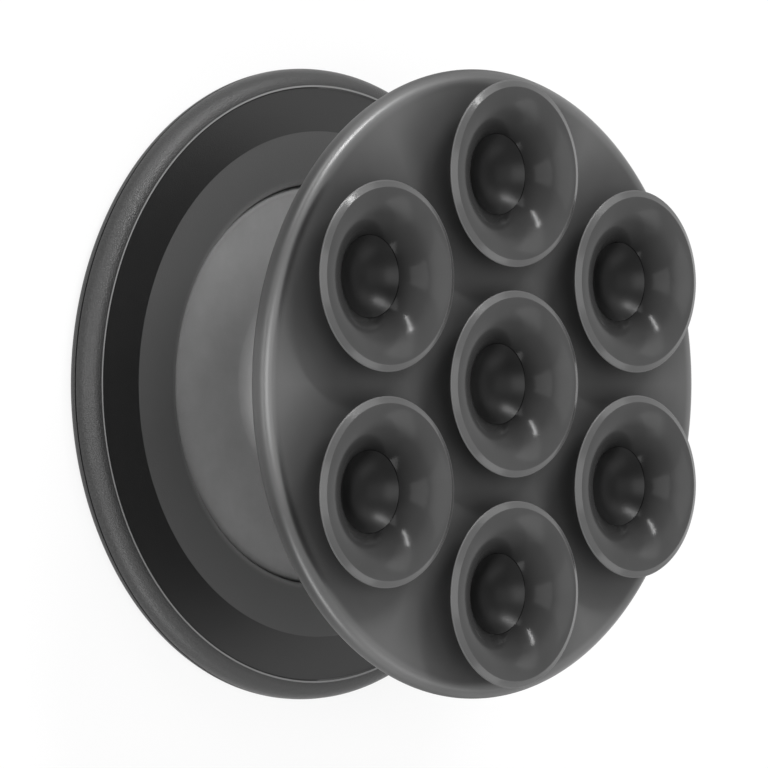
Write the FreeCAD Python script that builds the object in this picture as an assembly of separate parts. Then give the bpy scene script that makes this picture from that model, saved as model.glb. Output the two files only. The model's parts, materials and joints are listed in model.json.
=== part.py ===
import FreeCAD, Part
import math
import os
from FreeCAD import Vector

# Collapsible phone grip, drawn open and standing on the flat face of its top, suction cups up.
# Millimetres. Z is the grip's own axis, z = 0 is the flat face of the top.

# Top disc: the part that the fingers hold
top_r = 20.0                # widest radius
face_t = 0.6                # floor of the face plate
face_edge_h = 0.84          # height of the face plate's edge, where the seam shows
face_edge_round = 0.75      # outer corner of the face plate
face_rim_w = 1.4            # width of the raised edge of the face plate
seam_chamfer = 0.07         # small bevel on both sides of the seam
top_t = 2.05                # thickness at the lip of the underside
rim_round = 1.1             # rounding from the side wall to the lip
lip_w = 0.12                # flat crest of the lip
lip_drop = 0.12             # how far the underside lies behind the lip
outer_band_w = 2.7          # polished conical band inside the lip
outer_band_rise = 0.26      # how much that band climbs towards the middle
inner_band_rise = 0.05      # the flatter band inside it
pocket_round = 0.5          # rounded mouth of the pocket that holds the end plate
web_t = 0.7                 # floor of the pocket

# Quarter-turn lock between the top and the bellows
post_r = 2.6                # round post on the top shell
wing_reach = 4.0            # from the axis to the tip of a wing
wing_w = 2.6                # width of a wing
wing_t = 0.9                # thickness of a wing
lock_clear = 0.15           # running clearance round the post and the wings
wing_gap = 0.1              # space between the wings and the hub's floor
spigot_wall = 0.6           # hub material outside the wing slots
hub_shoulder = 0.55         # how far the hub's flange stands out over its spigot
hub_floor_t = 1.1           # hub floor above the end plate

# Bellows: one soft moulding from the end plate to the wide flange
plate_r = 12.55             # end plate, flush in the top's underside
plate_clear = 0.15          # gap round the end plate
plate_t = 0.5               # thickness of the end plate
plate_bevel = 0.15          # bevel on its edge
neck_wall = 1.0             # wall of the neck
neck_fillet = 0.9           # where the neck grows out of the end plate
tier_wall = 0.8             # stiff walls of the tiers
tiers = 3                   # stiff walls, the neck counted as the first
tier_draft = 0.45           # outward lean of each wall
tier_step = 2.9             # how much each tier is wider than the one before
hinge_t = 0.45              # thin folding web between two tiers
hinge_rise = 1.35           # climb of each folding web when the grip is open
fold_round = 0.35           # rounding of the outer folds
flange_w = 2.0              # width of the flange held in the base
flange_t = 0.4              # thickness of that flange

# Base: suction pad, plate and ring
finger_gap = 12.24          # open distance from the top to the back of the base plate
base_r = 19.3               # widest radius of the pad
base_t = 1.46               # thickness of the pad over its edge
edge_round = 0.72           # both corners of the pad's edge, which is nearly a full round
pad_step = 0.63             # the pad's back lies this far in front of the base plate's back
pad_wrap = 1.5              # silicone outside the plate
lip_reach = 0.9             # how far the pad laps under the plate's rim
plate_floor_t = 0.6         # floor of the base plate
ring_clear = 0.06           # snap clearance round the ring
flange_clear = 0.15         # play round the bellows' flange
ring_gap = 0.3              # gap between the bellows and the ring
ring_t = 0.45               # thickness of the retaining ring
ring_bevel = 0.15           # bevel on the ring's visible edges

# Suction cups
cup_pitch = 12.84           # centre to centre, one in the middle and six round it
cup_ring_count = 6
cup_r = 5.72                # outer radius of the lip
cup_h = 2.31                # rim plane above the pad's face
cup_lip_w = 0.42            # bevelled band of the lip
cup_lip_drop = 0.2          # outer edge of the lip below the rim plane
cup_lip_t = 0.08            # blunt outer edge of the lip
cup_stem_r = 3.2            # root of the cup on the pad
cup_root_bevel = 0.2        # bevel between cup and pad
cup_stem_h = 0.65           # height at which the stem starts to flare
cup_stem_lean = 0.12        # how much the stem widens up to there
well_r = 2.5                # crisp mouth of the centre well
well_mouth_depth = 1.66     # mouth of the well below the rim plane
well_depth = 0.98           # depth of the well below its mouth
well_draft = 0.25           # inward lean of the well's wall
well_floor_dish = 0.78      # height of the well's spherical floor
funnel_bulge = 0.3          # how far the funnel's wall bulges towards its axis

# Heights that follow from the sizes above
pocket_z = face_t + web_t
plate_top = pocket_z + plate_t
underside_z = top_t - lip_drop + outer_band_rise + inner_band_rise
ring_back = underside_z + finger_gap
pad_back = ring_back + pad_step
base_face = pad_back + base_t
rim_plane = base_face + cup_h
ring_front = ring_back + ring_t
floor_back = ring_front + flange_t
floor_front = floor_back + plate_floor_t
spigot_r = wing_reach + lock_clear + spigot_wall
hub_r = spigot_r + hub_shoulder
hub_floor = plate_top + hub_floor_t
wing_z = hub_floor + wing_gap
wing_top = wing_z + wing_t
neck_r = hub_r + neck_wall
tier_h = (ring_front - plate_top - (tiers - 1) * hinge_rise) / tiers
mouth_r = neck_r + (tiers - 1) * tier_step + tier_draft
ring_outer_r = mouth_r + flange_w + flange_clear


def corner_arc(before, corner, after, radius):
    """Two tangent points and the middle of the arc that rounds a corner."""
    towards_before = (before - corner).normalize()
    towards_after = (after - corner).normalize()
    half = towards_before.getAngle(towards_after) / 2
    setback = radius / math.tan(half)
    start = corner + towards_before * setback
    end = corner + towards_after * setback
    inward = (towards_before + towards_after).normalize()
    centre = corner + inward * (radius / math.sin(half))
    return start, centre - inward * radius, end


def outline(points):
    """Edges of a closed outline of (radius, height) or (radius, height, corner rounding)."""
    corners = [Vector(p[0], 0, p[1]) for p in points]
    rounds = [p[2] if len(p) > 2 else 0 for p in points]
    count = len(corners)
    spans = []
    for i, corner in enumerate(corners):
        if rounds[i]:
            spans.append(corner_arc(corners[i - 1], corner, corners[(i + 1) % count], rounds[i]))
        else:
            spans.append((corner, None, corner))
    edges = []
    for i, (start, middle, end) in enumerate(spans):
        if middle:
            edges.append(Part.Arc(start, middle, end).toShape())
        following = spans[(i + 1) % count][0]
        if end.distanceToPoint(following) > 1e-6:
            edges.append(Part.LineSegment(end, following).toShape())
    return edges


def turned(edges):
    """Solid of revolution about Z from the edges of a closed outline."""
    wire = Part.Wire(Part.__sortEdges__(edges))
    return Part.Face(wire).revolve(Vector(0, 0, 0), Vector(0, 0, 1), 360)


def disc(radius, low, high):
    return Part.makeCylinder(radius, high - low, Vector(0, 0, low))


def bar(length, width, low, high):
    """Box centred on the axis, long way along X."""
    return Part.makeBox(length, width, high - low, Vector(-length / 2, -width / 2, low))


def face_plate():
    """Shallow dish with a rounded outer edge. Its flat floor is what the grip stands on."""
    rim_inner = top_r - face_rim_w
    return turned(outline([
        (0, 0),
        (top_r, 0, face_edge_round),
        (top_r, face_edge_h - seam_chamfer),
        (top_r - seam_chamfer, face_edge_h),
        (rim_inner, face_edge_h),
        (rim_inner, face_t),
        (0, face_t),
    ]))


def top_shell():
    """Underside of the top: rounded side, lip, two bands, pocket and the locking post."""
    lip_outer = top_r - rim_round
    lip_inner = lip_outer - lip_w
    band_outer = lip_inner - lip_drop
    band_low = top_t - lip_drop
    step_r = band_outer - outer_band_w
    step_z = band_low + outer_band_rise
    pocket_r = plate_r + plate_clear
    rim_inner = top_r - face_rim_w
    body = turned(outline([
        (0, face_t),
        (rim_inner, face_t),
        (rim_inner, face_edge_h),
        (top_r - seam_chamfer, face_edge_h),
        (top_r, face_edge_h + seam_chamfer),
        (top_r, top_t, min(rim_round, top_t - face_edge_h - seam_chamfer) * 0.99),
        (lip_inner, top_t),
        (band_outer, band_low),
        (step_r, step_z),
        (pocket_r, underside_z, pocket_round),
        (pocket_r, pocket_z),
        (0, pocket_z),
    ]))
    post = disc(post_r, pocket_z, wing_top)
    wings = bar(2 * wing_reach, wing_w, wing_z, wing_top)
    wings = wings.common(disc(wing_reach, wing_z, wing_top))
    return body.fuse([post, wings]).removeSplitter()


def lock_hub():
    """Rigid insert in the neck: keyed hole for the post, floor for the wings, two stops."""
    body = turned(outline([
        (0, pocket_z),
        (spigot_r, pocket_z),
        (spigot_r, plate_top),
        (hub_r, plate_top),
        (hub_r, hub_floor),
        (0, hub_floor),
    ]))
    stop_ring = disc(hub_r, hub_floor, wing_top)
    stop_edge = wing_w / 2 + lock_clear
    stop_height = wing_top - hub_floor
    front_quarter = Part.makeBox(hub_r, hub_r, stop_height, Vector(stop_edge, stop_edge, hub_floor))
    rear_quarter = front_quarter.copy()
    rear_quarter.rotate(Vector(0, 0, 0), Vector(0, 0, 1), 180)
    stops = stop_ring.common(front_quarter.fuse(rear_quarter))
    hole = disc(post_r + lock_clear, pocket_z, wing_top)
    slot = bar(2 * (wing_reach + lock_clear), wing_w + 2 * lock_clear, pocket_z, hub_floor)
    slot = slot.common(disc(wing_reach + lock_clear, pocket_z, hub_floor))
    slot.rotate(Vector(0, 0, 0), Vector(0, 0, 1), 90)
    return body.fuse(stops).cut(hole.fuse(slot)).removeSplitter()


def bellows():
    """Open bellows: end plate, neck and two wider tiers joined by thin folding webs."""
    outer = [
        (spigot_r, pocket_z),
        (plate_r, pocket_z),
        (plate_r, plate_top - plate_bevel),
        (plate_r - plate_bevel, plate_top),
        (neck_r, plate_top, neck_fillet),
    ]
    inner = [(spigot_r, plate_top), (hub_r, plate_top)]
    wall_r = neck_r
    wall_z = plate_top
    thickness = neck_wall
    lean = 0
    for fold in range(tiers - 1):
        top_of_wall_r = wall_r + lean
        top_of_wall_z = wall_z + tier_h
        next_r = wall_r + tier_step
        slope = hinge_rise / (next_r - top_of_wall_r)
        web_top = hinge_t - slope * tier_wall
        outer.append((top_of_wall_r, top_of_wall_z))
        outer.append((next_r, top_of_wall_z + hinge_rise, fold_round))
        inner.append((top_of_wall_r - thickness, top_of_wall_z + hinge_t - slope * thickness))
        inner.append((next_r - tier_wall, top_of_wall_z + hinge_rise + web_top))
        wall_r = next_r
        wall_z = top_of_wall_z + hinge_rise
        thickness = tier_wall
        lean = tier_draft
    outer.append((mouth_r, ring_front))
    outer.append((mouth_r + flange_w, ring_front))
    outer.append((mouth_r + flange_w, floor_back))
    inner.append((mouth_r - tier_wall, floor_back))
    return turned(outline(outer + inner[::-1]))


def retaining_ring():
    """Flat ring snapped into the base plate. It traps the flange of the bellows."""
    inner_r = mouth_r + ring_gap
    outer_r = ring_outer_r
    return turned(outline([
        (inner_r, ring_back + ring_bevel),
        (inner_r + ring_bevel, ring_back),
        (outer_r - ring_bevel, ring_back),
        (outer_r, ring_back + ring_bevel),
        (outer_r, ring_front),
        (inner_r, ring_front),
    ]))


def base_plate():
    """Stiff carrier of the pad: a floor, a rim under the pad and a wall round the ring."""
    seat_r = ring_outer_r + ring_clear
    wall_r = base_r - pad_wrap - lip_reach
    return turned(outline([
        (0, floor_back),
        (seat_r, floor_back),
        (seat_r, ring_back),
        (wall_r, ring_back),
        (wall_r, floor_back),
        (base_r - pad_wrap, floor_back),
        (base_r - pad_wrap, floor_front),
        (0, floor_front),
    ]))


def pad_disc():
    """Body of the suction pad: a thin disc with a rounded edge that laps round the base plate."""
    plate_edge_r = base_r - pad_wrap
    lap_r = plate_edge_r - lip_reach
    return turned(outline([
        (0, floor_front),
        (plate_edge_r, floor_front),
        (plate_edge_r, floor_back),
        (lap_r, floor_back),
        (lap_r, pad_back),
        (base_r, pad_back, edge_round),
        (base_r, base_face, edge_round),
        (0, base_face),
    ]))


def cup_outside():
    """Flared cup with a bevelled lip, rooted just inside the pad."""
    lip_edge_z = rim_plane - cup_lip_drop
    flare_z = base_face + cup_stem_h
    foot_r = cup_stem_r + cup_root_bevel
    root_depth = (base_face - floor_front) / 2
    return turned(outline([
        (0, base_face - root_depth),
        (foot_r, base_face - root_depth),
        (foot_r, base_face),
        (cup_stem_r, base_face + cup_root_bevel),
        (cup_stem_r + cup_stem_lean, flare_z),
        (cup_r - cup_lip_t / 2, lip_edge_z - cup_lip_t),
        (cup_r, lip_edge_z),
        (cup_r - cup_lip_w, rim_plane),
        (0, rim_plane),
    ]))


def cup_hollow():
    """Space inside a cup: a funnel with a bulging wall, then a deep round well."""
    mouth_r = cup_r - cup_lip_w
    throat_z = rim_plane - well_mouth_depth
    well_z = throat_z - well_depth
    lip_point = Vector(mouth_r, 0, rim_plane)
    throat = Vector(well_r, 0, throat_z)
    along = (throat - lip_point).normalize()
    bulge = Vector(along.z, 0, -along.x) * funnel_bulge
    funnel_middle = (lip_point + throat) * 0.5 + bulge
    floor_r = well_r - well_draft
    floor_sphere_r = (floor_r ** 2 + well_floor_dish ** 2) / (2 * well_floor_dish)
    half_way = math.asin(floor_r / floor_sphere_r) / 2
    wall_end = Vector(floor_r, 0, well_z + well_floor_dish)
    floor_rise = floor_sphere_r * (1 - math.cos(half_way))
    floor_middle = Vector(floor_sphere_r * math.sin(half_way), 0, well_z + floor_rise)
    bottom = Vector(0, 0, well_z)
    above = Vector(0, 0, rim_plane + cup_h)
    above_lip = Vector(mouth_r, 0, rim_plane + cup_h)
    return turned([
        Part.Arc(lip_point, funnel_middle, throat).toShape(),
        Part.LineSegment(throat, wall_end).toShape(),
        Part.Arc(wall_end, floor_middle, bottom).toShape(),
        Part.LineSegment(bottom, above).toShape(),
        Part.LineSegment(above, above_lip).toShape(),
        Part.LineSegment(above_lip, lip_point).toShape(),
    ])


def cup_places():
    """Centres of the cups: one on the axis, the rest evenly round it."""
    places = [Vector(0, 0, 0)]
    for i in range(cup_ring_count):
        angle = 2 * math.pi * i / cup_ring_count
        places.append(Vector(cup_pitch * math.cos(angle), cup_pitch * math.sin(angle), 0))
    return places


def suction_pad():
    """One silicone moulding: the pad with all its cups, open towards the phone."""
    outside = cup_outside()
    hollow = cup_hollow()
    cups = [outside.translated(place) for place in cup_places()]
    hollows = [hollow.translated(place) for place in cup_places()]
    return pad_disc().fuse(cups).cut(hollows).removeSplitter()


parts = {
    "face_plate": face_plate(),
    "top_shell": top_shell(),
    "lock_hub": lock_hub(),
    "bellows": bellows(),
    "retaining_ring": retaining_ring(),
    "base_plate": base_plate(),
    "suction_pad": suction_pad(),
}

os.makedirs("parts", exist_ok=True)
for name, shape in parts.items():
    solid = shape.Solids[0] if len(shape.Solids) == 1 else shape
    solid.exportStep("parts/" + name + ".step")
    box = solid.BoundBox
    print(name, len(shape.Solids), solid.isValid(), round(solid.Volume, 1), round(box.ZMin, 2), round(box.ZMax, 2))
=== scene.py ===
import bmesh
import bpy
import json
import math
import numpy as np
from mathutils import Matrix, Vector


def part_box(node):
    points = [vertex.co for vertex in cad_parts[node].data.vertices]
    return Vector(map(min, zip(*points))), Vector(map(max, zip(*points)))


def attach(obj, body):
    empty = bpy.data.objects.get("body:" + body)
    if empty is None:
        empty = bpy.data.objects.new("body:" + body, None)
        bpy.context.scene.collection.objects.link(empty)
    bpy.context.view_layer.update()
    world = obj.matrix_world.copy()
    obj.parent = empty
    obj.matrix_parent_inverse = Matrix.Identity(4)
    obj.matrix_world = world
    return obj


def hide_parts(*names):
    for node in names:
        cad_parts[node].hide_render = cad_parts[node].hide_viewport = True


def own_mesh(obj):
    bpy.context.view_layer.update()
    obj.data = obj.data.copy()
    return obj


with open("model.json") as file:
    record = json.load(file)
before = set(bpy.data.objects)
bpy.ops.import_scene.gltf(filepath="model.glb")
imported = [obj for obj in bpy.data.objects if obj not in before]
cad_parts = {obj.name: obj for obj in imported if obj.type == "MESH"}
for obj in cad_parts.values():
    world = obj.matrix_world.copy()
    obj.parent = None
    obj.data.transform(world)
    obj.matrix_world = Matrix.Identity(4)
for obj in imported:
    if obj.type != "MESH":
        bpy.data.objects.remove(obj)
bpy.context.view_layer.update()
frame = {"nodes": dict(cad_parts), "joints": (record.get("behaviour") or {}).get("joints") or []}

# Face plate: the smooth outer face that the grip stands on, a shallow dish of black ABS.
# It is moulded in one shot, and welded to the shell at the seam line halfway up the side.
mm = 0.001
full_turn = 2 * math.pi
plate_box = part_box("face_plate")
top_r = plate_box[1].x / mm
seam_z = plate_box[1].z / mm
face_t = 0.6
face_edge_round = 0.75
face_rim_w = 1.4
seam_gap = 0.06
seam_depth = 0.25
edge_break = 0.03
abs_black = 0.021
abs_ior = 1.5
face_grain = 0.16
face_grain_depth = 0.012
scuff_size = 0.3
scuffed_h = 0.12
same_point = 1e-4
weld_reach = 0.0005


class Wire:
    """A value or a colour in a material's nodes. Sums of wires and numbers add Math nodes."""

    def __init__(self, tree, socket=None):
        self.tree = tree
        self.socket = socket

    def node(self, kind, settings, inputs, output=0):
        """A new node of this kind: its settings first, then its sockets, as numbers, colours or wires."""
        made = self.tree.nodes.new("ShaderNode" + kind)
        for name, value in settings.items():
            setattr(made, name, value)
        for name, value in inputs.items():
            if isinstance(value, Wire):
                self.tree.links.new(value.socket, made.inputs[name])
            else:
                made.inputs[name].default_value = value
        return Wire(self.tree, made.outputs[output] if made.outputs else None)

    def maths(self, operation, first, second):
        return self.node("Math", {"operation": operation}, {0: first, 1: second})

    def __add__(self, other):
        return self.maths("ADD", self, other)

    def __radd__(self, other):
        return self.maths("ADD", other, self)

    def __sub__(self, other):
        return self.maths("SUBTRACT", self, other)

    def __rsub__(self, other):
        return self.maths("SUBTRACT", other, self)

    def __mul__(self, other):
        return self.maths("MULTIPLY", self, other)

    def __rmul__(self, other):
        return self.maths("MULTIPLY", other, self)

    def climb(self, low, high):
        """Smooth step: 0 where the wire is at low or under it, 1 where it is at high or over it."""
        settings = {"interpolation_type": "SMOOTHSTEP"}
        return self.node("MapRange", settings, {"Value": self, "From Min": low, "From Max": high})

    def within(self, low, high, soft):
        """1 between low and high, with soft sides that reach outwards, and 0 elsewhere."""
        return self.climb(low - soft, low) * (1 - self.climb(high, high + soft))

    def blend(self, dark, light):
        """Colour from dark, where the wire is 0, to light, where it is 1, and on past light over 1."""
        settings = {"data_type": "RGBA", "clamp_factor": False}
        return self.node("Mix", settings, {0: self, 6: dark, 7: light}, 2)


def new_nodes(name):
    """An empty material, as the wire that its nodes start from."""
    material = bpy.data.materials.new(name)
    material.use_nodes = True
    material.node_tree.nodes.clear()
    return material, Wire(material.node_tree)


def place_on(start):
    """Place on the piece, its distance from the grip's axis, and its height, all in millimetres."""
    here = start.node("TexCoord", {}, {}, "Object")
    here = start.node("VectorMath", {"operation": "SCALE"}, {"Vector": here, "Scale": 1 / mm})
    across = start.node("VectorMath", {"operation": "MULTIPLY"}, {0: here, 1: (1, 1, 0)})
    radius = start.node("VectorMath", {"operation": "LENGTH"}, {0: across}, "Value")
    height = start.node("SeparateXYZ", {}, {0: here}, "Z")
    return here, radius, height


def speckle(here, size, stretch=(1, 1, 1), detail=2.0, turn=0.0):
    """Soft random marks from 0 to 1, about as large as size in millimetres, drawn out by stretch."""
    scale = tuple(1 / (size * s) for s in stretch)
    turned = {"Vector": here, "Rotation": (0, 0, turn), "Scale": scale}
    spread = here.node("Mapping", {}, turned)
    marks = {"Vector": spread, "Scale": 1.0, "Detail": detail, "Roughness": 0.55}
    return here.node("TexNoise", {}, marks)


def grey(level):
    return (level, level, level, 1)


def finish(piece, material, shader):
    """Puts the shader on the piece as its only material."""
    shader.node("OutputMaterial", {}, {"Surface": shader})
    piece.data.materials.clear()
    piece.data.materials.append(material)


def rounded(corners, closed=False, steps=5, guard=0.04):
    """Outline through (radius, height, rounding) corners. A rounded corner becomes the arc that touches
    both sides: centre = corner + bisector * rounding / sin(half the angle). A guard point on each side of
    the arc keeps smooth shading off the straight runs. An open outline keeps its two ends as they are."""
    table = np.array([tuple(c) + (0,) * (3 - len(c)) for c in corners], float)
    point, rounding = table[:, :2], table[:, 2:].copy()
    if not closed:
        rounding[[0, -1]] = 0
    behind = np.roll(point, 1, axis=0) - point
    ahead = np.roll(point, -1, axis=0) - point
    run_behind = np.linalg.norm(behind, axis=1, keepdims=True)
    run_ahead = np.linalg.norm(ahead, axis=1, keepdims=True)
    behind, ahead = behind / run_behind, ahead / run_ahead
    straight = np.clip((behind * ahead).sum(axis=1, keepdims=True), -1, 1)
    half = np.where(rounding > 0, np.arccos(straight) / 2, math.pi / 4)
    bisector = np.where(rounding > 0, behind + ahead, 1.0)
    bisector = bisector / np.linalg.norm(bisector, axis=1, keepdims=True)
    along = np.where(rounding > 0, ahead - behind, 1.0)
    along = along / np.linalg.norm(along, axis=1, keepdims=True)
    reach = rounding / np.tan(half)
    room_behind = run_behind - reach - np.roll(reach, 1, axis=0)
    room_ahead = run_ahead - reach - np.roll(reach, -1, axis=0)
    step_behind = np.where(rounding > 0, np.clip(room_behind / 3, 0, guard), 0)
    step_ahead = np.where(rounding > 0, np.clip(room_ahead / 3, 0, guard), 0)
    turn = np.linspace(-1, 1, steps)[None, :, None] * (math.pi / 2 - half)[:, None, :]
    centre = point + bisector * rounding / np.sin(half)
    bow = rounding[:, None, :]
    arc = centre[:, None] - bisector[:, None] * bow * np.cos(turn) + along[:, None] * bow * np.sin(turn)
    first = (point + behind * (reach + step_behind))[:, None]
    last = (point + ahead * (reach + step_ahead))[:, None]
    path = np.concatenate([first, arc, last], axis=1).reshape(-1, 2)
    if closed:
        path = np.concatenate([path, path[:1]])
    apart = np.linalg.norm(np.diff(path, axis=0), axis=1) > same_point
    return path[np.concatenate([[True], apart])]


def lathe(outline, around=240):
    """Grid of a turned form: each (r, z) of the outline carried round as (r cos t, r sin t, z)."""
    t = np.arange(around) * full_turn / around
    r, z = outline[:, :1], outline[:, 1:]
    return np.stack([r * np.cos(t), r * np.sin(t), z + 0 * t], axis=-1)


def moulding(name, *grids):
    """One piece from grids of points, rows by columns, in millimetres. Each grid closes on itself across
    its columns. Points that fall together are welded, which closes seams and poles, and faces are turned
    outwards."""
    corners, faces, count = [], [], 0
    for grid in grids:
        rows, columns = grid.shape[:2]
        number = count + np.arange(rows * columns).reshape(rows, columns)
        beside = np.roll(number, -1, axis=1)
        faces.append(np.stack([number[:-1], beside[:-1], beside[1:], number[1:]], axis=-1).reshape(-1, 4))
        corners.append(grid.reshape(-1, 3) * mm)
        count += rows * columns
    mesh = bpy.data.meshes.new(name)
    mesh.from_pydata(np.concatenate(corners).tolist(), [], np.concatenate(faces).tolist())
    weld = bmesh.new()
    weld.from_mesh(mesh)
    bmesh.ops.remove_doubles(weld, verts=weld.verts, dist=weld_reach * mm)
    bmesh.ops.recalc_face_normals(weld, faces=weld.faces)
    weld.to_mesh(mesh)
    weld.free()
    mesh.shade_smooth()
    piece = bpy.data.objects.new(name, mesh)
    bpy.context.scene.collection.objects.link(piece)
    return piece


def face_plate_finish(piece):
    """Satin ABS: fine spark-eroded grain, faint hairline scuffs where it meets the table."""
    material, start = new_nodes("outer_face_abs")
    here, _, height = place_on(start)
    grain = speckle(here, face_grain, stretch=(1, 1, 0.6), detail=3.0)
    scuff = speckle(here, scuff_size, stretch=(9, 0.35, 1), turn=0.6).climb(0.62, 0.74)
    low = 1 - height.climb(0.0, scuffed_h)
    colour = (grain * 0.5 + scuff * low * 0.6).blend(grey(abs_black * 0.85), grey(abs_black * 1.5))
    bumps = start.node("Bump", {}, {"Strength": 0.5, "Distance": face_grain_depth * mm, "Height": grain})
    shader = start.node("BsdfPrincipled", {}, {
        "Base Color": colour, "Roughness": 0.42 + grain * 0.12 + scuff * low * 0.15, "IOR": abs_ior,
        "Normal": bumps})
    finish(piece, material, shader)


face_plate = moulding("outer_face_plate", lathe(rounded([
    (0, 0),
    (top_r, 0, face_edge_round),
    (top_r, seam_z - seam_gap, edge_break),
    (top_r - seam_depth, seam_z - seam_gap, edge_break),
    (top_r - seam_depth, seam_z, edge_break),
    (top_r - face_rim_w, seam_z, edge_break),
    (top_r - face_rim_w, face_t, edge_break),
    (0, face_t),
], steps=7)))
face_plate_finish(face_plate)
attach(face_plate, "top")
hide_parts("face_plate")

# Top shell: the underside that the fingers hook behind, the same black ABS, moulded with its locking post.
# Its side is spark-eroded, a thin lip painted pale as a highlight runs round it, and two bands step in to
# the pocket.
shell_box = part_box("top_shell")
hub_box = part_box("lock_hub")
wing_top = shell_box[1].z / mm
pocket_z = hub_box[0].z / mm
lip_z = 2.05
rim_round = 1.1
lip_w = 0.09
lip_drop = 0.12
outer_band_w = 2.7
outer_band_rise = 0.26
inner_band_rise = 0.05
pocket_r = 12.66
pocket_round = 0.5
post_r = 2.6
wing_reach = 4.0
wing_w = 2.6
wing_t = 0.9
wing_chamfer = 0.08
wing_ease = 0.03
fine_break = 0.02
pocket_floor_round = 0.1
post_top_round = 0.06
side_grain = 0.09
band_grain = 0.07
side_tone = 2.1
# Painted highlight: the lip's colour is made pale.
lip_painted_highlight = 10.0
# Painted highlight: the pocket's rolled edge is coloured paler.
rolled_painted_highlight = 5.0
outer_band_tone = 0.05
inner_band_tone = 2.3
tiny = 1e-6
lip_outer = top_r - rim_round
lip_inner = lip_outer - lip_w
band_outer = lip_inner - lip_drop
band_step_r = band_outer - outer_band_w
band_step_z = lip_z - lip_drop + outer_band_rise
underside_z = band_step_z + inner_band_rise
side_round = 0.99 * min(rim_round, lip_z - seam_z - seam_gap)


def bar_round_post(reach, width, low, high, around=96):
    """Grid of a bar whose ends follow a circle: reach at angle t = min(reach, width / 2 / |sin t|)."""
    t = np.arange(around) * full_turn / around
    limit = np.minimum(reach, width / 2 / np.maximum(np.abs(np.sin(t)), tiny))[None, :]
    share = np.array([0, 1 - wing_ease, 1, 1, 1 - wing_ease, 0])[:, None]
    level = np.array([low, low, low + wing_chamfer, high - wing_chamfer, high, high])[:, None]
    return np.stack([share * limit * np.cos(t), share * limit * np.sin(t), level + 0 * t], axis=-1)


def top_shell_finish(piece):
    """ABS in four finishes: fine grain on the side, a lip painted pale as a highlight, dark outer band,
    satin inner band. The pocket's rolled edge is painted paler, a painted highlight."""
    material, start = new_nodes("top_shell_abs")
    here, radius, height = place_on(start)
    side = radius.climb(lip_outer - 0.02, lip_outer + 0.05)
    lip = radius.within(lip_inner, lip_outer, 0.03)
    outer_band = radius.within(band_step_r + 0.02, band_outer, 0.03)
    inner_band = 1 - radius.climb(band_step_r - 0.02, band_step_r + 0.02)
    grain = speckle(here, side_grain, stretch=(1, 1, 1.6), detail=3.0)
    sand = speckle(here, band_grain)
    cloud = speckle(here, 3.0)
    roll = 1 - radius.climb(pocket_r, pocket_r + pocket_round + 0.1)
    # The lip and the pocket's rolled edge carry painted highlights in their colour.
    tone = side * (grain * side_tone - 0.25) + lip * lip_painted_highlight + roll * rolled_painted_highlight
    tone = tone + outer_band * (outer_band_tone + sand * 0.15)
    tone = tone + inner_band * (inner_band_tone + sand * 0.3)
    colour = (tone + cloud * 0.1).blend(grey(0), grey(abs_black))
    rough = side * (0.3 + grain * 0.16) + lip * 0.3
    rough = rough + outer_band * (0.3 + sand * 0.14) + inner_band * (0.44 + sand * 0.1)
    depth = side * grain * 0.045 + (outer_band + inner_band) * sand * 0.01
    bumps = start.node("Bump", {}, {"Strength": 0.8, "Distance": mm, "Height": depth})
    shader = start.node("BsdfPrincipled", {}, {
        "Base Color": colour, "Roughness": rough, "IOR": abs_ior, "Normal": bumps})
    finish(piece, material, shader)


top_shell = moulding("top_underside", lathe(rounded([
    (0, face_t),
    (top_r - face_rim_w, face_t, edge_break),
    (top_r - face_rim_w, seam_z, edge_break),
    (top_r - seam_depth, seam_z, edge_break),
    (top_r - seam_depth, seam_z + seam_gap, edge_break),
    (top_r, seam_z + seam_gap, edge_break),
    (top_r, lip_z, side_round),
    (lip_inner, lip_z, fine_break),
    (band_outer, lip_z - lip_drop, fine_break),
    (band_step_r, band_step_z, fine_break),
    (pocket_r, underside_z, pocket_round),
    (pocket_r, pocket_z, pocket_floor_round),
    (post_r, pocket_z, pocket_floor_round),
    (post_r, wing_top, post_top_round),
    (0, wing_top),
], steps=7)), bar_round_post(wing_reach, wing_w, wing_top - wing_t, wing_top))
top_shell_finish(top_shell)
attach(top_shell, "top")
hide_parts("top_shell")

# Lock hub: the stiff keyed insert that the wings turn in, moulded in acetal. The bellows is moulded round
# it, so it lies out of sight inside the neck, and its CAD solid stays as it is, with its own finish.
acetal_black = 0.03
acetal_ior = 1.48


def acetal_finish(piece):
    """Dry waxy acetal with faint flow clouds and fine mould grain."""
    material, start = new_nodes("lock_hub_acetal")
    here, _, _ = place_on(start)
    cloud = speckle(here, 1.6, detail=3.0)
    grain = speckle(here, 0.1, detail=1.0)
    colour = cloud.blend(grey(acetal_black * 0.8), grey(acetal_black * 1.2))
    bumps = start.node("Bump", {}, {"Strength": 0.3, "Distance": 0.01 * mm, "Height": grain})
    shader = start.node("BsdfPrincipled", {}, {
        "Base Color": colour, "Roughness": 0.42 + grain * 0.15, "IOR": acetal_ior, "Normal": bumps})
    finish(piece, material, shader)


acetal_finish(frame["nodes"]["lock_hub"])

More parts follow.
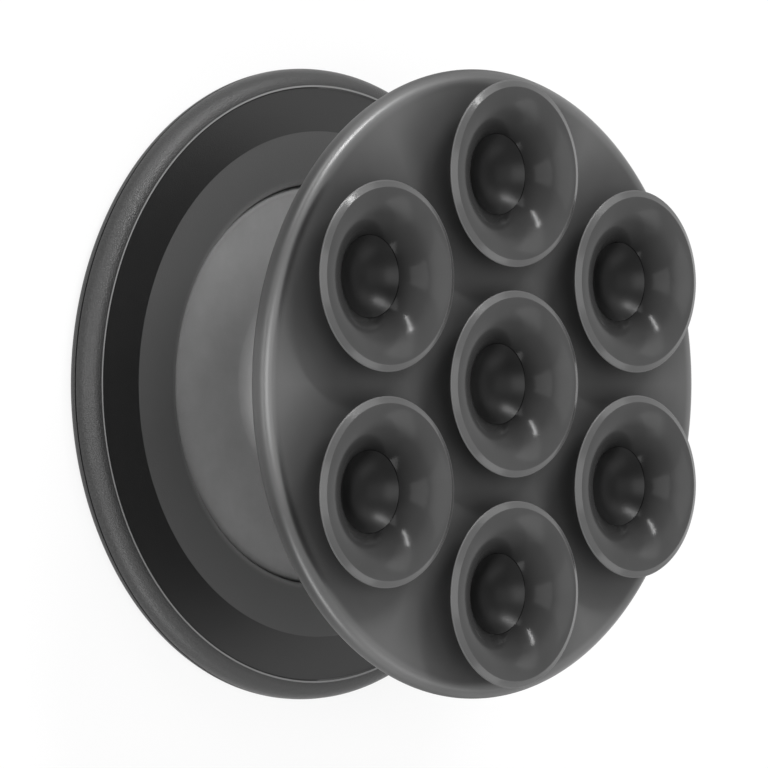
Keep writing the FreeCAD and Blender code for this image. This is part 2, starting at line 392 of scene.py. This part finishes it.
# Bellows: end plate, narrow neck and two wider tiers with thin folding webs, moulded in one soft elastomer.
# The end plate lies flush in the pocket, and the flange at the wide end is trapped in the base.
bellows_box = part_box("bellows")
ring_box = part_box("retaining_ring")
plate_r = 12.62
plate_t = 0.5
spigot_r = 4.75
hub_r = hub_box[1].x / mm
neck_wall = 1.0
neck_fillet = 0.9
tier_wall = 0.8
tiers = 3
tier_draft = 0.45
tier_step = 2.9
hinge_t = 0.45
hinge_rise = 1.35
fold_round = 0.35
flange_w = 2.0
plate_edge_round = 0.4
soft_edge = 0.05
insert_edge = 0.03
web_round = 0.2
inner_fold_round = 0.15
flange_root_round = 0.1
plate_top = pocket_z + plate_t
neck_r = hub_r + neck_wall
flange_low = ring_box[1].z / mm
flange_high = bellows_box[1].z / mm
tier_h = (flange_low - plate_top - (tiers - 1) * hinge_rise) / tiers
mouth_r = neck_r + (tiers - 1) * tier_step + tier_draft
rubber_black = 0.2
rubber_ior = 1.45
powder_size = 0.09
powder_depth = 0.012
plate_tone = 0.8
neck_paler = 0.1
# Painted shade on the end plate's rim, where it meets the pocket.
plate_rim_painted_shade = 0.15


def bellows_outline():
    """Outer side from the end plate to the flange, then the inner side back. Each tier is a leaning wall
    and a folding web, and the inner side lies one wall thickness inside the outer one."""
    outer = [(spigot_r, pocket_z, soft_edge), (plate_r, pocket_z, soft_edge),
             (plate_r, plate_top, plate_edge_round), (neck_r, plate_top, neck_fillet)]
    inner = [(spigot_r, plate_top, insert_edge), (hub_r, plate_top, insert_edge)]
    wall_r, wall_z, thickness, lean = neck_r, plate_top, neck_wall, 0
    for fold in range(tiers - 1):
        rim_r, rim_z, next_r = wall_r + lean, wall_z + tier_h, wall_r + tier_step
        slope = hinge_rise / (next_r - rim_r)
        outer += [(rim_r, rim_z, web_round), (next_r, rim_z + hinge_rise, fold_round)]
        inner += [(rim_r - thickness, rim_z + hinge_t - slope * thickness, web_round),
                  (next_r - tier_wall, rim_z + hinge_rise + hinge_t - slope * tier_wall, inner_fold_round)]
        wall_r, wall_z, thickness, lean = next_r, rim_z + hinge_rise, tier_wall, tier_draft
    outer += [(mouth_r, flange_low, flange_root_round), (mouth_r + flange_w, flange_low, soft_edge),
              (mouth_r + flange_w, flange_high, soft_edge)]
    inner += [(mouth_r - tier_wall, flange_high, soft_edge)]
    return outer + inner[::-1]


def bellows_finish(piece):
    """Soft elastomer, paler than the plastic: powdery satin, with painted shade on the end plate's rim
    beside the pocket.
    """
    material, start = new_nodes("bellows_elastomer")
    here, radius, height = place_on(start)
    cloud = speckle(here, 2.4, detail=3.0)
    powder = speckle(here, powder_size)
    neck = 1 - radius.climb(neck_r + 0.2, neck_r + neck_fillet + 0.6)
    low = 1 - height.climb(plate_top + 0.1, plate_top + 0.4)
    # Painted shade on the end plate's rim beside the pocket.
    shaded_rim = radius.climb(plate_r - 0.45, plate_r - 0.02) * low
    fold = speckle(here, 0.8, stretch=(1, 1, 0.15))
    tone = plate_tone + cloud * 0.25 + powder * 0.12 + neck * neck_paler - shaded_rim * plate_rim_painted_shade
    colour = (tone + fold * 0.1).blend(grey(0), grey(rubber_black))
    relief = powder + fold * 0.5
    bumps = start.node("Bump", {}, {"Strength": 0.4, "Distance": powder_depth * mm, "Height": relief})
    shader = start.node("BsdfPrincipled", {}, {
        "Base Color": colour, "Roughness": 0.5 + powder * 0.15, "IOR": rubber_ior, "Normal": bumps})
    finish(piece, material, shader)


bellows = moulding("bellows", lathe(rounded(bellows_outline(), closed=True)))
bellows_finish(bellows)
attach(bellows, "hub")
held_z = (flange_low + flange_high) / 2
travel = -min(joint["range_m"][0] for joint in frame["joints"] if joint["name"] == "collapse") / mm
1 - travel / (held_z - plate_top)
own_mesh(bellows)
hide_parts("bellows")

# Retaining ring: a flat ring moulded in black polycarbonate, with bevelled edges at its back.
# It snaps into the base plate and traps the bellows' flange.
base_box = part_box("base_plate")
ring_back = ring_box[0].z / mm
ring_outer = ring_box[1].x / mm
ring_gap = 0.3
ring_inner = mouth_r + ring_gap
ring_bevel = 0.15
base_black = 0.026
polycarbonate_ior = 1.52
ring_marks = 38.0  # radians of their sine wave for each millimetre out from the axis


def base_plastic_finish(piece, name, grain_size):
    """Polycarbonate with turned tool marks: fine rings about the axis, and a sandy grain between them."""
    material, start = new_nodes(name)
    here, radius, _ = place_on(start)
    rings = radius.maths("SINE", radius * ring_marks, 0.0)
    grain = speckle(here, grain_size)
    colour = grain.blend(grey(base_black * 0.8), grey(base_black * 1.25))
    depth = rings * 0.001 + grain * 0.008
    bumps = start.node("Bump", {}, {"Strength": 0.6, "Distance": mm, "Height": depth})
    shader = start.node("BsdfPrincipled", {}, {
        "Base Color": colour, "Roughness": 0.38 + grain * 0.18, "IOR": polycarbonate_ior,
        "Normal": bumps})
    finish(piece, material, shader)


retaining_ring = moulding("retaining_ring_cover", lathe(rounded([
    (ring_inner, ring_back, ring_bevel),
    (ring_outer, ring_back, ring_bevel),
    (ring_outer, flange_low, edge_break),
    (ring_inner, flange_low, edge_break),
], closed=True)))
base_plastic_finish(retaining_ring, "ring_polycarbonate", grain_size=0.1)
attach(retaining_ring, "base")
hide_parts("retaining_ring")

# Base plate: stiff polycarbonate carrier of the suction pad, with a wall round the ring's seat.
# The pad is moulded over its rim, so that only the back of that wall shows from behind.
seat_gap = 0.06
seat_r = ring_outer + seat_gap
carrier_r = base_box[1].x / mm
carrier_edge = 0.05
seat_round = 0.1
lap_reach = 0.9
carrier_back = base_box[0].z / mm
carrier_front = base_box[1].z / mm

base_plate = moulding("pad_carrier", lathe(rounded([
    (0, flange_high),
    (seat_r, flange_high, seat_round),
    (seat_r, carrier_back, carrier_edge),
    (carrier_r - lap_reach, carrier_back, carrier_edge),
    (carrier_r - lap_reach, flange_high, fine_break),
    (carrier_r, flange_high, carrier_edge),
    (carrier_r, carrier_front, carrier_edge),
    (0, carrier_front),
])))
base_plastic_finish(base_plate, "carrier_polycarbonate", grain_size=0.16)
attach(base_plate, "base")
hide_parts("base_plate")

# Suction pad: one moulding of black silicone, a thin disc with a rounded edge and seven flared cups.
# Each cup stands on a short stem and has a bevelled lip, a bulging funnel and a deep round well.
pad_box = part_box("suction_pad")
base_r = pad_box[1].x / mm
rim_plane = pad_box[1].z / mm
base_t = 1.46
edge_round = 0.72
cup_h = 2.31
cup_pitch = 12.84
cup_r = 5.72
cup_lip_w = 0.42
cup_lip_drop = 0.2
cup_lip_t = 0.08
stem_r = 3.2
stem_lean = 0.12
stem_h = 0.65
root_round = 0.24
well_r = 2.5
well_mouth_depth = 1.66
well_depth = 0.98
well_draft = 0.25
well_dish = 0.78
funnel_bulge = 0.3
cups_round = 6
silicone_black = 0.092
silicone_ior = 1.5
dull_ior = 1.12
worn_ior = 1.7
dust_size = 0.12
# Painted shade round the cups reaches this far out across the face.
painted_cup_shade_reach = 4.0
face_tone = 0.9
painted_cup_shade_depth = 0.42
edge_darker = 0.45
cup_darker = 0.39
# Painted shade in the funnels, deeper down their throats, and in the wells.
funnel_painted_shade = 0.15
throat_painted_shade = 0.35
well_painted_shade = 0.95
face_rough = 0.5
cup_smoother = 0.38
brim_rougher = 0.3
well_smoother = 0.22
face_dull = 0.8
well_dull = 0.77
funnel_dull = 0.6
throat_duller = 0.34
base_face = rim_plane - cup_h
well_mouth = rim_plane - well_mouth_depth
pad_back = base_face - base_t
lap_r = carrier_r - lap_reach
half_pitch = cup_pitch / 2
seam_r = 18.2  # where the cups' patches meet the edge's patch
sixth = full_turn / cups_round
steps_per_sixth = 24
spoke_steps = 6
outer_steps = 58
side_steps = 31
funnel_steps = 19
dish_steps = 9
lip_round = 0.03
throat_round = 0.04
stem_top_round = 0.3
foot_margin = 0.06
edge_steps = 13
far = 1e3


def cup_outline():
    """A cup from the pad's face to the bottom of its well, with heights from the face. The funnel is a
    straight line bowed by a parabola, and the floor of the well is part of a sphere."""
    mouth = np.array([cup_r - cup_lip_w, cup_h])
    throat = np.array([well_r, cup_h - well_mouth_depth])
    bow = np.array([mouth[1] - throat[1], throat[0] - mouth[0]])
    bow = bow / np.linalg.norm(bow) * -funnel_bulge
    t = np.linspace(0, 1, funnel_steps + 1)[1:-1, None]
    funnel = mouth + (throat - mouth) * t + bow * 4 * t * (1 - t)
    floor_r = well_r - well_draft
    bottom = throat[1] - well_depth
    sphere = (floor_r ** 2 + well_dish ** 2) / (2 * well_dish)
    swing = np.linspace(math.asin(floor_r / sphere), 0, dish_steps + 1)[1:, None]
    floor = np.concatenate([sphere * np.sin(swing), bottom + sphere * (1 - np.cos(swing))], axis=1)
    lip_edge = cup_h - cup_lip_drop
    outside = [(stem_r + root_round + foot_margin, 0), (stem_r, 0, root_round),
               (stem_r + stem_lean, stem_h, stem_top_round),
               (cup_r - cup_lip_t / 2, lip_edge - cup_lip_t, lip_round), (cup_r, lip_edge, lip_round),
               (*mouth, lip_round)]
    inside = [(*throat, throat_round), (floor_r, bottom + well_dish)]
    return rounded(outside + [tuple(p) for p in funnel] + inside + [tuple(p) for p in floor])


def cup_grid(bearing, patch_edge, centre, turn):
    """Grid of one cup with its patch of the pad's face: straight in from the patch's edge to the foot, then
    the cup's outline. Bearings run round the cup's axis from the pad's radius."""
    outline = cup_outline()
    foot = outline[0, 0]
    spoke = foot + (patch_edge[None, :] - foot) * np.linspace(1, 0, spoke_steps + 1)[:-1, None]
    reach = np.concatenate([spoke, outline[:, :1] + 0 * bearing])
    x = centre + reach * np.cos(bearing)
    y = reach * np.sin(bearing)
    z = base_face + np.concatenate([0 * spoke, outline[:, 1:] + 0 * bearing])
    turned_x = x * math.cos(turn) - y * math.sin(turn)
    turned_y = x * math.sin(turn) + y * math.cos(turn)
    return np.stack([turned_x, turned_y, z], axis=-1)


def line_ahead(bearing, normal, distance):
    """How far off, along each bearing, lies the line that stands at distance in the direction normal."""
    facing = np.cos(bearing - normal)
    return np.where(facing > tiny, distance / np.maximum(facing, tiny), far)


def suction_pad_grids():
    """Seven cup grids and the edge. Cups meet on the lines halfway between them, and the outer ones end at
    a circle, from where the rounded edge goes on to the lap behind the carrier."""
    step = sixth / steps_per_sixth
    even = np.arange(cups_round * steps_per_sixth) * step
    sides = [line_ahead(even, i * sixth, half_pitch) for i in range(cups_round)]
    grids = [cup_grid(even, np.minimum.reduce(sides), 0.0, 0.0)]
    corner = math.atan2(seam_r * math.sin(sixth / 2), seam_r * math.cos(sixth / 2) - cup_pitch)
    inner_corner = math.pi - sixth / 2
    out = np.linspace(-corner, corner, outer_steps + 1)[:-1]
    side = np.linspace(corner, inner_corner, side_steps + 1)[:-1]
    back = np.linspace(inner_corner, full_turn - inner_corner, steps_per_sixth + 1)[:-1]
    side_again = full_turn - np.linspace(inner_corner, corner, side_steps + 1)[:-1]
    bearing = np.concatenate([out, side, back, side_again])
    circle = np.sqrt(seam_r ** 2 - (cup_pitch * np.sin(bearing)) ** 2) - cup_pitch * np.cos(bearing)
    edge = np.minimum.reduce([line_ahead(bearing, math.pi, half_pitch),
                              line_ahead(bearing, math.pi - sixth, half_pitch),
                              line_ahead(bearing, math.pi + sixth, half_pitch),
                              circle])
    for i in range(cups_round):
        grids.append(cup_grid(bearing, edge, cup_pitch, i * sixth))
    reach = edge[:len(out)]
    around = np.arctan2(reach * np.sin(out), cup_pitch + reach * np.cos(out))
    around = (around[None, :] + np.arange(cups_round)[:, None] * sixth).ravel()
    profile = rounded([
        (seam_r, base_face),
        (base_r, base_face, edge_round),
        (base_r, pad_back, edge_round),
        (lap_r, pad_back, soft_edge),
        (lap_r, flange_high),
        (carrier_r, flange_high),
        (carrier_r, carrier_front),
        (0, carrier_front),
    ], steps=edge_steps)
    r, z = profile[:, :1], profile[:, 1:]
    grids.append(np.stack([r * np.cos(around), r * np.sin(around), z + 0 * around], axis=-1))
    return grids


def cup_distance(here):
    """Distance from the axis of the nearest cup. Folded at x = 0 and y = 0, three axes are left, and the
    shortest of the distances from them wins."""
    flat = here.node("VectorMath", {"operation": "MULTIPLY"}, {0: here, 1: (1, 1, 0)})
    folded = here.node("VectorMath", {"operation": "ABSOLUTE"}, {0: flat})
    shortest = here.node("VectorMath", {"operation": "LENGTH"}, {0: folded}, "Value")
    for turn in (0.0, sixth):
        axis = (cup_pitch * math.cos(turn), cup_pitch * math.sin(turn), 0)
        away = here.node("VectorMath", {"operation": "DISTANCE"}, {0: folded, 1: axis}, "Value")
        shortest = here.maths("MINIMUM", away, shortest)
    return shortest


def silicone_finish(piece):
    """Silicone in four finishes: satin face, polished cups, dull dark wells, and an edge worn shiny.
    Painted shade darkens the face round the cups, the funnels, more the deeper they go, and the wells. A
    glossy and a dull shader are mixed, and a funnel is made to mirror less the deeper it goes, which is
    painted shade too."""
    material, start = new_nodes("pad_silicone")
    here, radius, height = place_on(start)
    cloud = speckle(here, 3.5)
    ripple = speckle(here, 1.1, detail=1.0)
    dust = speckle(here, dust_size)
    from_cup = cup_distance(here)
    below_mouth = 1 - height.climb(well_mouth - 0.04, well_mouth + 0.01)
    well = below_mouth * (1 - from_cup.climb(well_r, well_r + 0.1))
    lip_inside = cup_r - cup_lip_w
    funnel = (1 - below_mouth) * (1 - from_cup.climb(lip_inside - 0.04, lip_inside + 0.01))
    polish = height.climb(base_face + 0.3, base_face + 0.5) * (1 - well)
    edge = radius.climb(base_r - edge_round - 0.5, base_r - edge_round)
    worn = edge * height.climb(base_face - 0.5, base_face - 0.1)
    brim = from_cup.climb(cup_r - 0.12, cup_r - 0.04) * polish
    depth = rim_plane - height
    matt = (1 - polish) * (1 - well) * (1 - edge) * face_dull + well * well_dull
    # The funnel's dull share grows with depth: painted shade on its reflection.
    matt = matt + funnel * (funnel_dull + depth.climb(0.25, 0.6) * throat_duller)
    # Painted shade: the colour darkens deeper down the funnel.
    throat = funnel * depth * (throat_painted_shade / well_mouth_depth)
    # Painted shade round the cups, out across the face.
    painted_cup_shade = (1 - from_cup.climb(cup_r - 0.2, cup_r + painted_cup_shade_reach)) * (1 - polish) * (1 - well)
    tone = face_tone + cloud * 0.2 - painted_cup_shade * painted_cup_shade_depth - edge * edge_darker
    # Painted shade in the funnels and the wells.
    tone = tone - polish * cup_darker - funnel * funnel_painted_shade - throat - well * well_painted_shade
    rough = face_rough - polish * cup_smoother + brim * brim_rougher - well * well_smoother + dust * 0.03
    colour = tone.blend(grey(0), grey(silicone_black))
    bumps = start.node("Bump", {}, {"Strength": 0.15, "Distance": 0.02 * mm, "Height": ripple + dust * 0.1})
    glossy = start.node("BsdfPrincipled", {}, {
        "Base Color": colour, "Roughness": rough + ripple * 0.04, "IOR": silicone_ior,
        "Coat Weight": worn * 0.7, "Coat Roughness": 0.3, "Coat IOR": worn_ior, "Normal": bumps})
    dull = start.node("BsdfPrincipled", {}, {
        "Base Color": colour, "Roughness": rough, "IOR": dull_ior, "Normal": bumps})
    finish(piece, material, start.node("MixShader", {}, {0: matt, 1: glossy, 2: dull}))


suction_pad = moulding("suction_pad_silicone", *suction_pad_grids())
silicone_finish(suction_pad)
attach(suction_pad, "base")
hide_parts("suction_pad")

# Studio: the grip stands on a plain pale floor in plain soft light, seen as in the picture: 44 degrees from
# above, about 300 mm away with a long lens, and rolled on its side so that the grip's axis lies level.
floor_size = 6.0
floor_drop = 0.02 * mm
floor_grey = 0.8
floor_glow = 0.85
air_glow = 0.4
grip_middle = Vector((0, 0, 10 * mm))
eye_distance = 301.7 * mm


def white_for_the_eye(start):
    """1 for rays from the camera, mirrors and glass, 0 for the rest."""
    camera_ray = start.node("LightPath", {}, {}, "Is Camera Ray")
    mirror_ray = start.node("LightPath", {}, {}, "Is Glossy Ray")
    glass_ray = start.node("LightPath", {}, {}, "Is Transmission Ray")
    return start.maths("MAXIMUM", start.maths("MAXIMUM", camera_ray, mirror_ray), glass_ray)


def floor_finish(piece):
    """Pale floor, clear when it is looked at from below, so that the grip's outer face can be seen."""
    material, start = new_nodes("studio_floor")
    lit = start.node("BsdfDiffuse", {}, {"Color": grey(floor_grey)})
    white = start.node("Emission", {}, {"Color": grey(1.0), "Strength": 1.0})
    upper = start.node("MixShader", {}, {0: white_for_the_eye(start) * floor_glow, 1: lit, 2: white})
    clear = start.node("BsdfTransparent", {}, {"Color": grey(1.0)})
    from_below = start.node("NewGeometry", {}, {}, "Backfacing")
    finish(piece, material, start.node("MixShader", {}, {0: from_below, 1: upper, 2: clear}))


half = floor_size / 2
floor_mesh = bpy.data.meshes.new("floor")
floor_mesh.from_pydata([(-half, -half, -floor_drop), (half, -half, -floor_drop), (half, half, -floor_drop),
                        (-half, half, -floor_drop)], [], [(0, 1, 2, 3)])
floor = bpy.data.objects.new("floor", floor_mesh)
bpy.context.scene.collection.objects.link(floor)
floor_finish(floor)


def soft_box(name, direction, distance, width, height, brightness, along=(1, 0, 0)):
    """A soft light that hangs in a direction from the grip and faces it. Its brightness counts in whites,
    its distance and size in metres, and its width lies along the last vector."""
    data = bpy.data.lights.new(name, "AREA")
    data.shape = "RECTANGLE"
    data.size = width
    data.size_y = height
    data.energy = brightness * math.pi * width * height
    lamp = bpy.data.objects.new(name, data)
    towards = Vector(direction).normalized()
    level = towards.cross(Vector(along)).normalized()
    turned = Matrix((level.cross(towards), level, towards)).transposed().to_4x4()
    lamp.matrix_world = Matrix.Translation(towards * distance + grip_middle) @ turned
    lamp.visible_camera = False
    bpy.context.scene.collection.objects.link(lamp)


soft_box("overhead_box", (0, 0.11, 1), 1.0, 0.49, 0.6, 1.1)
soft_box("front_box", (0, -0.45, 0.893), 1.0, 0.5, 0.48, 4.6)
soft_box("low_box", (0, -0.95, 0.3), 1.0, 0.8, 0.3, 4.4)
soft_box("low_side_left", (-0.87, -0.35, 0.35), 1.0, 0.5, 0.3, 5.5, (-0.35, 0.87, 0))
soft_box("low_side_right", (0.87, -0.35, 0.35), 1.0, 0.5, 0.3, 7.5, (0.35, 0.87, 0))
soft_box("side_box_left", (-0.55, 0.5, 0.67), 1.0, 0.5, 0.3, 1.2, (-0.6, -0.7, 0.03))
soft_box("side_box_right", (0.55, 0.5, 0.67), 1.0, 0.5, 0.3, 1.2, (0.6, -0.7, 0.03))
soft_box("key_strip", (-0.709, 0.127, 0.693), 0.6, 0.22, 0.032, 80.0, (0.404, 0.874, 0.268))

world = bpy.data.worlds.new("studio")
bpy.context.scene.world = world
world.use_nodes = True
world.node_tree.nodes.clear()
air = Wire(world.node_tree)
seen = white_for_the_eye(air)
sky = air.node("Background", {}, {"Color": grey(1.0), "Strength": air_glow + seen * (1 - air_glow)})
air.node("OutputWorld", {}, {"Surface": sky})

looked_at = Vector((0, -5.58 * mm, 12.94 * mm))
right = Vector((0, 0.6997, 0.7145))
up = Vector((-1, 0, 0))
towards_eye = right.cross(up)
camera_data = bpy.data.cameras.new("camera")
camera_data.lens = 231.9
camera_data.clip_start = 0.01
camera = bpy.data.objects.new("camera", camera_data)
turn = Matrix((right, up, towards_eye)).transposed().to_4x4()
camera.matrix_world = Matrix.Translation(looked_at + towards_eye * eye_distance) @ turn
bpy.context.scene.collection.objects.link(camera)
bpy.context.scene.camera = camera
bpy.context.scene.view_settings.view_transform = "Standard"
